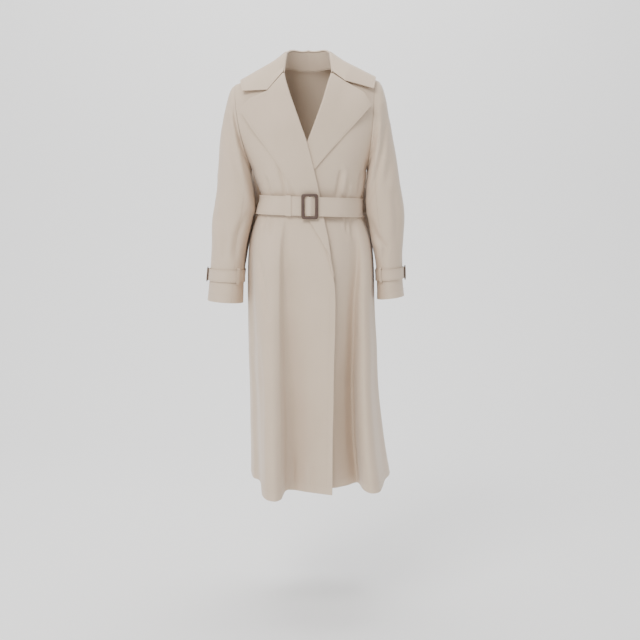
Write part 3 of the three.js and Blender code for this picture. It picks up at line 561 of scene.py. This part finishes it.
def lapel(across, down, name):
    """across: -1 to 0 round the roll, 0 to 1 out to the edge; down: 0 at the gorge, 1 at the end."""
    edge, outer, notch, corner, top, bottom, sign = LAPELS[name]
    tip = (outer["x"][0], outer["z"][0])
    start = (float(along(edge, top, "x", "z")), top)
    z = mix(top, bottom, down)
    x = along(edge, z, "x", "z")
    far_x, far_z = along(outer, down, "x"), along(outer, down, "z")
    radius = mix(ROLL_PRESSED, ROLL_SOFT, smooth((z + 190) / 100))
    base = overlap_lift if name == "right" else lambda px, pz: 0.0 * px
    angle = np.radians(90 + 180 * np.minimum(across, 0))
    roll_x = x - sign * (2 * SEAM + radius * np.cos(angle))
    roll_out = base(x, z) - CLOTH + radius * (1 + np.sin(angle))
    flat = np.maximum(across, 0)
    fade = (1 - down) ** 4
    px, pz = mix(x, far_x, flat), mix(z, far_z, flat)
    for axis in (0, 1):
        line = straight([0, 0.4, 0.78, 1], [start[axis], notch[axis], corner[axis], tip[axis]], flat)
        bend = fade * (line - mix(start[axis], tip[axis], flat))
        px, pz = (px + bend, pz) if axis == 0 else (px, pz + bend)
    tip_lift = 13 * smooth((flat - 0.35) / 0.65) * smooth(1 - down / 0.45)
    wave = 0.8 * np.sin(px / 31 + pz / 60) * smooth(flat * 3)
    out = base(px, pz) + mix(2 * radius - CLOTH, 3.8, smooth(flat * 1.4)) + tip_lift + wave
    rolled = across < 0
    px, pz, out = np.where(rolled, roll_x, px), np.where(rolled, z, pz), np.where(rolled, roll_out, out)
    return xyz(px, -depth_at(px, pz, out), pz)


ROLL_COLUMNS = np.concatenate([np.linspace(-1, 0, 9)[:-1], np.linspace(0, 1, 46)])
U, V = grid(ROLL_COLUMNS, np.linspace(0, 1, 110))
lapel_right = shell("lapel right", lapel(U, V, "right"), 1)
U, V = grid(ROLL_COLUMNS, np.linspace(0, 1, 76))
lapel_left = shell("lapel left", lapel(U, V, "left"), -1)
finish_piece(lapel_right, cloth, "cloth", "lapel_right")
finish_piece(lapel_left, cloth, "cloth", "lapel_left")

# %% [markdown]
# The collar has a stand, a band that rises from the neckline, and a fall that turns over it and
# spreads on the shoulders. Both follow the neckline from one gorge, round the back, to the other.

# %% The collar
COLLAR_SIDE, COLLAR_LIFT = 0.62, 5.0


def neckline(place):
    """Neckline seam; place -1 is the wearer's right gorge and 1 the left one."""
    far, sign = np.abs(place), np.where(place < 0, -1, 1)
    angle = np.radians(90 * place / COLLAR_SIDE)
    back_x = NECK_X * np.sin(angle)
    rise = np.sin(np.radians(90 * back_top(back_x)))
    back_z = mix(UNDERARM_Z, shoulder_z(back_x), rise)
    down = np.clip((far - COLLAR_SIDE) / (1 - COLLAR_SIDE), 0, 1)
    z, x = NECK_Z - 17 * down**2, sign * (NECK_X - down)
    front = far > COLLAR_SIDE
    y = np.where(front, -depth_at(x, z), NECK_BACK * np.cos(angle))
    return np.where(front, x, back_x), y, np.where(front, z, back_z)


def inward(x, y):
    """Level direction from the neckline towards the middle of the neck."""
    ix, iy = -x, np.minimum(0, -y)
    size = np.hypot(ix, iy)
    return ix / size, iy / size


def fold(place):
    x, y, z = neckline(place)
    ix, iy = inward(x, y)
    rise = along(COLLAR, np.abs(place), "stand")
    lean = 7 * np.clip(rise / 40, 0, 1)
    return x + ix * lean, y + iy * lean, z + rise, ix, iy


def collar_edge(place):
    """Outer edge of the fall, lying on the shoulders."""
    far, sign = np.abs(place), np.where(place < 0, -1, 1)
    x = sign * along(COLLAR, far, "x")
    level = np.clip(along(COLLAR, far, "level"), 0, 0.999)
    front = far >= COLLAR_SIDE
    out = np.where(front, mix(6, 13, (far - COLLAR_SIDE) / (1 - COLLAR_SIDE)), 6)
    wide, deep, share, *_ = upper_section(x >= 0, level, front)
    z = UNDERARM_Z + (shoulder_z(x) + out - UNDERARM_Z) * share
    reach = np.clip(np.abs(x) / (wide + out), 0, 0.985)
    y = (deep + out) * (1 - reach**SQUARENESS) ** (1 / SQUARENESS)
    return x, np.where(front, -y, y), z


def collar_fall(place, out):
    """out: -1 to 0 round the fold, 0 to 1 down to the outer edge."""
    fx, fy, fz, ix, iy = fold(place)
    angle = np.radians(90 + 90 * np.minimum(out, 0))
    turned = (fx + ix * ROLL_SOFT * np.cos(angle), fy + iy * ROLL_SOFT * np.cos(angle),
              fz + ROLL_SOFT * (np.sin(angle) - 1))
    flat = np.clip(out, 0, 1)
    ex, ey, ez = collar_edge(place)
    far = np.abs(place)
    x, y = mix(fx, ex, flat), mix(fy, ey, flat)
    z = mix(fz, ez, flat) + along(COLLAR, far, "sag") * np.sin(np.pi * flat)
    hat = np.where(flat < 0.42, flat / 0.42, (1 - flat) / 0.58) * smooth((far - 0.72) / 0.28)
    for sign, name in ((-1, "right"), (1, "left")):
        nx, nz = LAPELS[name][2]
        end = np.array([float(sign)])
        sx, sy, sz, _, _ = fold(end)
        tx, ty, tz = collar_edge(end)
        on = hat * (np.sign(place) == sign)
        x = x + on * (nx - mix(sx, tx, 0.42))
        y = y + on * (-depth_at(float(nx), float(nz), 7) - mix(sy, ty, 0.42))
        z = z + on * (nz + 2 - mix(sz, tz, 0.42))
    clear = -depth_at(x, z, COLLAR_LIFT)
    y = np.where(far > COLLAR_SIDE, np.minimum(y, clear), y)
    z = z + 1.2 * np.sin(place * 9) * np.sin(np.pi * flat) * (far < COLLAR_SIDE)
    rolled = out < 0
    return xyz(*(np.where(rolled, a, b) for a, b in zip(turned, (x, y, z))))


def collar_stand(place, up):
    x, y, z = neckline(place)
    fx, fy, fz, ix, iy = fold(place)
    head = (fx + ix * ROLL_SOFT, fy + iy * ROLL_SOFT, fz - ROLL_SOFT - 5 * SEAM)
    return xyz(mix(x, head[0], up), mix(y, head[1], up), mix(z + 3 * SEAM, head[2], up))


FALL_ROWS = np.concatenate([np.linspace(-1, 0, 7)[:-1], np.linspace(0, 1, 51)])
U, V = grid(np.linspace(-1, 1, 240), FALL_ROWS)
collar = shell("collar fall", collar_fall(U, V), 1)
U, V = grid(np.linspace(-0.8125, 0.8125, 150), np.linspace(0, 1, 10))
stand = shell("collar stand", collar_stand(U, V), 1)
finish_piece(collar, cloth, "cloth", "collar_fall")
finish_piece(stand, cloth, "cloth", "collar_stand")

# %% [markdown]
# The sleeves are cut in two pieces, so that they bend forward at the elbow. Their seams run down the
# front and back of the inner side. Straps with small buckles gather the cuffs.

# %% The sleeves
SLEEVES = {"right": (SLEEVE_RIGHT, -1), "left": (SLEEVE_LEFT, 1)}
SLEEVE_SEAM, SEAM_GAP = 105.0, 0.2


def sleeve(around, down, name, out=0.0, creased=True):
    """around: 0 on the outer line, 90 in front, 180 inside; down: 0 armhole, 1 cuff."""
    rows, sign = SLEEVES[name]
    left = name == "left"
    c, s = np.cos(np.radians(around)), np.sin(np.radians(around))
    out_x, out_z = along(rows, down, "outX"), along(rows, down, "outZ")
    in_x, in_z = along(rows, down, "inX"), along(rows, down, "inZ")
    share = (1 + c) / 2
    bulge = (by_side(TIP_X, left) - by_side(UNDERARM_X, left)) * (share - share**2)
    drape = np.where(s > 0, along(rows, down, "reach") * s, along(rows, down, "lag") * s * s)
    seat = bulge * smooth(1 - down / 0.3) + 1.5 * SEAM - drape * (1 - c) / 2
    half = np.hypot(out_x - in_x, out_z - in_z) / 2
    x = sign * (mix(in_x, out_x, share) + seat)
    z = mix(in_z, out_z, share)
    if creased:
        held = smooth(down / 0.06) * smooth((0.875 - down) / 0.06)
        moved = relief(x, z, SLEEVE_CREASES[name]) * smooth((s + 0.3) / 0.4)
        elbow = np.exp(-(((down - 0.6) / 0.09) ** 2)) * 2.2 * np.sin(down * 90 + 0.03 * around)
        behind = elbow * smooth((0.1 - s) / 0.5) + 1.2 * np.sin(down * 21 + np.radians(around) * 2)
        out = out + held * (np.clip(moved, -6, 3) + behind * smooth((0.4 - s) / 0.5))
    x = x + sign * out * c * (out_x - in_x) / (2 * half)
    z = z + out * c * (out_z - in_z) / (2 * half)
    y = -s * (np.where(s > 0, along(rows, down, "front"), along(rows, down, "back")) + out)
    return xyz(x, y, z)


for name, (rows, sign) in SLEEVES.items():
    spans = {"upper": (-SLEEVE_SEAM + SEAM_GAP, SLEEVE_SEAM - SEAM_GAP, 84),
             "under": (SLEEVE_SEAM + SEAM_GAP, 360 - SLEEVE_SEAM - SEAM_GAP, 60)}
    for part, (start, end, count) in spans.items():
        U, V = grid(np.linspace(start, end, count), np.linspace(0, 1, 170))
        piece = shell(f"{part} sleeve {name}", sleeve(U, V, name), sign)
        finish_piece(piece, cloth, "cloth", f"{part}_sleeve_{name}")

# %% [markdown]
# A buckle is a rounded frame with a bar across its middle. Its section is a squared circle swept round
# a rounded rectangle, which one formula gives. A bevelled box would need many more faces.

# %% Straps, loops and buckles
STRAP_TOP, STRAP_BOTTOM, STRAP_OUT, BUCKLE_AT, STRAP_OVER_BAR = 0.887, 0.9285, 3.6, 8.0, 5.6


def squared(value, n):
    return np.sign(value) * np.abs(value) ** n


def buckle(name, wide, tall, window_wide, window_tall, thick, bar):
    """Frame whose outer and inner outlines are |x/a|^n + |y/b|^n = 1, with a flat middle bar."""
    t, p = grid(np.linspace(0, 2 * np.pi, 97)[:-1], np.linspace(0, 2 * np.pi, 25))
    corner = 0.22
    outline = squared(np.cos(t), corner), squared(np.sin(t), corner)
    reach, height = squared(np.cos(p), 0.7), squared(np.sin(p), 0.7)
    x = outline[0] * mix(window_wide, wide, (1 + reach) / 2) / 2
    y = outline[1] * mix(window_tall, tall, (1 + reach) / 2) / 2
    z = thick / 2 * (1 + height)
    points = xyz(x, y, z)
    columns, rows = points.shape[:2]
    number = np.arange(columns * rows).reshape(columns, rows)
    i, j = np.arange(columns), np.arange(rows - 1)
    i2 = (i + 1) % columns
    j2 = (j + 1) % (rows - 1)
    faces = np.stack([np.ravel(number[np.ix_(a, b)]) for a, b in ((i, j), (i2, j), (i2, j2), (i, j2))], 1)
    used = np.delete(points, -1, 1).reshape(-1, 3)
    renumber = np.full(number.size, -1)
    renumber[number[:, :-1].ravel()] = np.arange(columns * (rows - 1))
    low = np.array([(-1.5, -window_tall / 2 - 1, 0.1), (1.5, window_tall / 2 + 1, 0.1 + bar)])
    corners = [(a, b, c) for a in (0, 1) for b in (0, 1) for c in (0, 1)]
    box = np.array([[low[a][0], low[b][1], low[c][2]] for a, b, c in corners])
    box_faces = np.array([(0, 1, 3, 2), (4, 6, 7, 5), (0, 4, 5, 1), (2, 3, 7, 6), (0, 2, 6, 4), (1, 5, 7, 3)])
    verts = np.concatenate([used, box]) * MM
    faces = np.concatenate([renumber[faces], box_faces + len(used)])
    mesh = bpy.data.meshes.new(name)
    mesh.from_pydata(verts.tolist(), [], faces.tolist())
    mesh.polygons.foreach_set("use_smooth", np.arange(len(faces)) < len(faces) - 6)
    return mesh


def place_mesh(name, mesh, origin, across, up, face):
    """Puts a flat piece's own axes and origin in the row frame; the object stays at the origin."""
    turn = np.stack([across, up, face], 1)
    count = len(mesh.vertices)
    coords = np.empty(count * 3)
    mesh.vertices.foreach_get("co", coords)
    moved = coords.reshape(-1, 3) @ turn.T + np.array(origin) * MM
    mesh.vertices.foreach_set("co", moved.ravel())
    mesh.update()
    obj = bpy.data.objects.new(name, mesh)
    bpy.context.collection.objects.link(obj)
    return obj


def strap(around, down, name):
    turn = (around - BUCKLE_AT + 540) % 360 - 180
    bump = STRAP_OVER_BAR * np.exp(-((turn / 4.5) ** 2))
    return sleeve(around, down, name, STRAP_OUT + bump, creased=False)


def unit(vector):
    return vector / np.linalg.norm(vector)


straps, loops = {}, {}
for name, (rows, sign) in SLEEVES.items():
    U, V = grid(np.linspace(0, 360, 241)[:-1] + BUCKLE_AT, np.linspace(STRAP_TOP, STRAP_BOTTOM, 14))
    piece = shell(f"cuff strap {name}", strap(U, V, name), sign, ring=True)
    straps[name] = finish_piece(piece, cloth, "cloth", f"cuff_strap_{name}")
    middle, high = (STRAP_TOP + STRAP_BOTTOM) / 2, STRAP_BOTTOM - STRAP_TOP + 0.018
    for part, at in (("front", 118), ("back", 282)):
        U, V = grid(np.linspace(at - 4.5, at + 4.5, 9), np.linspace(middle - high / 2, middle + high / 2, 33))
        inside = 0.5 - np.abs((V - middle) / high)
        points = sleeve(U, V, name, mix(1.9, STRAP_OUT + 2.4, smooth(inside * 8)), creased=False)
        piece = shell(f"cuff loop {part} {name}", points, sign, thick=1.2)
        loops[part, name] = finish_piece(piece, cloth, "cloth", f"cuff_loop_{part}_{name}")
    at = [np.array([value]) for value in (BUCKLE_AT, middle, 0.01, 0.5)]
    point = sleeve(at[0], at[1], name, STRAP_OUT, creased=False)[0]
    up = sleeve(at[0], at[1] - at[2], name, STRAP_OUT, False) - sleeve(at[0], at[1] + at[2], name, STRAP_OUT, False)
    along_u = sleeve(at[0] + at[3], at[1], name, STRAP_OUT, False) - sleeve(at[0] - at[3], at[1], name, STRAP_OUT, False)
    up = unit(up[0])
    face = unit(np.cross(along_u[0], -up)) * sign
    face = unit(face - up * (face @ up))
    mesh = buckle(f"cuff buckle {name}", 26, 38, 15, 33, 3.4, 1.2)
    piece = place_mesh(f"cuff buckle {name}", mesh, point + face * 1.4, np.cross(up, face), up, face)
    finish_piece(piece, horn, "buckle", f"cuff_buckle_{name}")

# %% [markdown]
# The belt is one strip. It starts behind the buckle's bar, winds once round the waist, passes over the
# bar and ends on top of itself, held by a narrow loop.

# %% The belt, its keeper and its buckle
limit = np.array([20.0])
BAR_ANGLE = float(solve(lambda a: section_point(a, BELT_Z, 0)[0] - BUCKLE_X, -limit, limit)[0])


def belt_lift(x):
    return mix(4.4, 15.8, smooth((130 - np.abs(x + 4)) / 60))


def belt_place(angle, height, out):
    """Point on the belt line, which tilts and stands upright in front."""
    x, y = section_point(angle, BELT_Z, 0)
    z = BELT_Z + height - BELT_TILT * x
    upright = np.where(y < 0, smooth((110 - np.abs(x)) / 50), 0)
    px, py = section_point(angle, mix(z, BELT_Z, upright), out)
    return xyz(px, py, z)


def belt(wound, up):
    angle = BAR_ANGLE - wound
    x, y = section_point(angle, BELT_Z, 0)
    second = BELT_LAYER * smooth((wound - 285) / 45)
    bump = OVER_BAR * np.exp(-(((x - BUCKLE_X) / 6) ** 2)) * ((y < 0) & (wound > 180))
    return belt_place(angle, BELT_HEIGHT * (up - 0.5), belt_lift(np.where(y < 0, x, 1e6)) + second + bump)


def keeper(around, across):
    """Squared ring round both layers of the belt."""
    c, s = np.cos(np.radians(around)), np.sin(np.radians(around))
    high, deep = BELT_HEIGHT / 2 + 1.8, (BELT_LAYER + 2) / 2 + 1.8
    x = -43 + 12 * (0.5 - across)
    turn = np.full(x.shape, 60.0)
    angle = solve(lambda a: section_point(a, BELT_Z, 0)[0] - x, -turn, turn)
    out = belt_lift(x) + (BELT_LAYER - 2) / 2 + deep * squared(c, 0.12)
    return belt_place(angle, high * squared(s, 0.12), out)


U, V = grid(np.linspace(1.5, 464, 460), np.linspace(0, 1, 14))
belt_piece = shell("belt", belt(U, V), -1)
U, V = grid(np.linspace(0, 360, 61)[:-1], np.linspace(0, 1, 5))
keeper_piece = shell("belt keeper", keeper(U, V), 1, thick=1.2, ring=True)
finish_piece(belt_piece, cloth, "cloth", "belt")
finish_piece(keeper_piece, cloth, "cloth", "belt_keeper")
mesh = buckle("belt buckle", 43, 64, 26, 51, 5.5, 1.8)
seat = belt_place(np.array([BAR_ANGLE]), np.array([0.0]), belt_lift(BUCKLE_X) + BELT_LAYER + 0.5)[0]
buckle_piece = place_mesh("belt buckle", mesh, seat, (1, 0, 0), (0, 0, 1), (0, -1, 0))
finish_piece(buckle_piece, horn, "buckle", "belt_buckle")

# %% [markdown]
# Edges of a trench coat are stitched a few millimetres in, which keeps them flat. Each stitch is a
# short, thin lozenge of thread that stands just proud of the cloth. A painted line would be cheaper,
# but real threads catch the light in a close view.

# %% The stitches
STITCH, PITCH, THREAD = 3.0, 4.4, 0.32


def stitch_line(points, outward):
    """Centres, directions and outward normals of the stitches along a line of points."""
    steps = np.linalg.norm(np.diff(points, axis=0), axis=1)
    place = np.concatenate([[0], np.cumsum(steps)])
    at = np.arange(PITCH, place[-1] - PITCH, PITCH)
    centre = np.stack([np.interp(at, place, points[:, k]) for k in range(3)], 1)
    ahead = np.stack([np.interp(at + 1, place, points[:, k]) for k in range(3)], 1) - centre
    normal = np.stack([np.interp(at, place, outward[:, k]) for k in range(3)], 1)
    ahead /= np.linalg.norm(ahead, axis=1, keepdims=True)
    normal /= np.linalg.norm(normal, axis=1, keepdims=True)
    return centre, ahead, normal


def surface_line(shape, u, v, side, lift=0.25):
    """Points just off a surface along a line of its two numbers, and the outward normals there."""
    step = 0.004
    across = shape(u + step, v) - shape(u - step, v)
    normal = np.cross(across, shape(u, v + step) - shape(u, v - step)) * side
    normal /= np.maximum(np.linalg.norm(normal, axis=1, keepdims=True), 1e-9)
    return shape(u, v) + normal * lift, normal


def sew(name, lines):
    """One mesh of lozenge-shaped stitches along several lines."""
    parts = [stitch_line(*line) for line in lines]
    centre, ahead, normal = (np.concatenate([p[k] for p in parts]) for k in range(3))
    aside = np.cross(ahead, normal)
    offsets = [ahead * STITCH / 2, aside * THREAD, normal * THREAD, -aside * THREAD, -normal * THREAD,
               -ahead * STITCH / 2]
    verts = np.stack([centre + o for o in offsets], 1).reshape(-1, 3) * MM
    one = np.array([(0, 1, 2), (0, 2, 3), (0, 3, 4), (0, 4, 1), (5, 2, 1), (5, 3, 2), (5, 4, 3), (5, 1, 4)])
    faces = (one[None] + 6 * np.arange(len(centre))[:, None, None]).reshape(-1, 3)
    mesh = bpy.data.meshes.new(name)
    mesh.from_pydata(verts.tolist(), [], faces.tolist())
    obj = bpy.data.objects.new(name, mesh)
    bpy.context.collection.objects.link(obj)
    print(name, "stitches:", len(centre))
    return finish_piece(obj, thread, "cloth")


ones, run = np.ones(240), np.linspace(0.01, 0.985, 240)
right_front = lambda u, v: front_panel(u, v, "right")
left_front = lambda u, v: front_panel(u, v, "left")
sew("stitches front right", [
    surface_line(right_front, 0.945 * ones, np.linspace(-0.985, -0.38, 240), 1),
    surface_line(right_front, run, -0.972 * ones, 1)])
sew("stitches front left", [surface_line(left_front, run, -0.972 * ones, -1)])
sew("stitches back", [
    surface_line(back_panel, np.linspace(-0.99, 0.99, 240), -0.972 * ones, 1)])
for name, side in (("right", 1), ("left", -1)):
    shape = lambda u, v, name=name: lapel(u, v, name)
    sew(f"stitches lapel {name}", [
        surface_line(shape, 0.955 * ones, np.linspace(0.02, 0.8, 240), side),
        surface_line(shape, np.linspace(0.42, 0.955, 240), 0.018 * ones, side)])
sew("stitches collar", [
    surface_line(collar_fall, np.linspace(-0.975, 0.975, 240), 0.955 * ones, 1)])
sew("stitches belt", [
    surface_line(belt, np.linspace(3, 460, 700), up * np.ones(700), -1) for up in (0.09, 0.91)])
for name, (rows, sign) in SLEEVES.items():
    shape = lambda u, v, name=name: strap(u, v, name)
    ring = np.linspace(BUCKLE_AT + 8, BUCKLE_AT + 352, 240)
    edges = (mix(STRAP_TOP, STRAP_BOTTOM, 0.1), mix(STRAP_TOP, STRAP_BOTTOM, 0.9))
    lines = [surface_line(shape, ring, v * ones, sign) for v in edges]
    sew(f"stitches cuff strap {name}", lines)
    shape = lambda u, v, name=name: sleeve(u, v, name)
    hem = surface_line(shape, np.linspace(-104, 104, 240), 0.972 * ones, sign)
    sew(f"stitches cuff {name}", [hem])

# %% [markdown]

# %% A loop over the sleeves that does nothing
for name in SLEEVES:
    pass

# %% [markdown]
# The photograph has a white ground and very soft light from above and in front. One large lamp gives
# the soft key, two weaker ones open the shadows, and a white floor and wall send light back.

# %% Floor, lamps and camera
floor_material, *_ = new_material("pale floor", (0.93, 0.93, 0.93), 0.9)
FLOOR_Z, WALL_Y, RADIUS, HALF = -1.42, 3.2, 1.2, 9.0
bend = np.linspace(0, np.pi / 2, 24)
profile_y = np.concatenate([[-9.0], WALL_Y - RADIUS + RADIUS * np.sin(bend), [WALL_Y]])
profile_z = np.concatenate([[FLOOR_Z], FLOOR_Z + RADIUS * (1 - np.cos(bend)), [7.0]])
sweep = np.stack([xyz(x * np.ones(len(profile_y)), profile_y, profile_z) for x in (-HALF, HALF)])
mesh = bpy.data.meshes.new("floor and wall")
count = len(profile_y)
strip = [(i, i + 1, i + 1 + count, i + count) for i in range(count - 1)]
mesh.from_pydata(sweep.reshape(-1, 3).tolist(), [], strip)
mesh.polygons.foreach_set("use_smooth", np.ones(len(strip), bool))
floor = bpy.data.objects.new("floor and wall", mesh)
floor.data.materials.append(floor_material)
bpy.context.collection.objects.link(floor)


def lamp(name, place, target, size, power_watts, color=(1, 1, 1)):
    light = bpy.data.lights.new(name, "AREA")
    light.shape, light.size, light.energy, light.color = "SQUARE", size, power_watts, color
    obj = bpy.data.objects.new(name, light)
    obj.location = place
    direction = np.array(target, float) - np.array(place, float)
    from mathutils import Vector
    obj.rotation_euler = Vector(direction).to_track_quat("-Z", "Y").to_euler()
    bpy.context.collection.objects.link(obj)
    return obj


lamp("key", (-1.3, -2.7, 2.2), (0, 0, -0.4), 1.8, 125, (1, 0.985, 0.96))
lamp("fill left", (-2.9, -1.6, 0.2), (0, 0, -0.6), 2.0, 20)
lamp("fill right", (2.9, -1.8, 0.4), (0, 0, -0.6), 2.0, 12)
lamp("wall", (0, 0.9, 2.6), (0, 3.0, -0.5), 2.4, 110)
world = bpy.data.worlds.new("white room")
world.use_nodes = True
world.node_tree.nodes["Background"].inputs["Color"].default_value = (1, 1, 1, 1)
world.node_tree.nodes["Background"].inputs["Strength"].default_value = 0.75
bpy.context.scene.world = world

camera_data = bpy.data.cameras.new("camera")
camera_data.lens, camera_data.sensor_width = 67.92, 36
camera = bpy.data.objects.new("camera", camera_data)
camera.location = (0.030475, -3.1825, -0.3305)
camera.rotation_euler = (np.radians(84), 0, 0)
bpy.context.collection.objects.link(camera)
bpy.context.scene.camera = camera
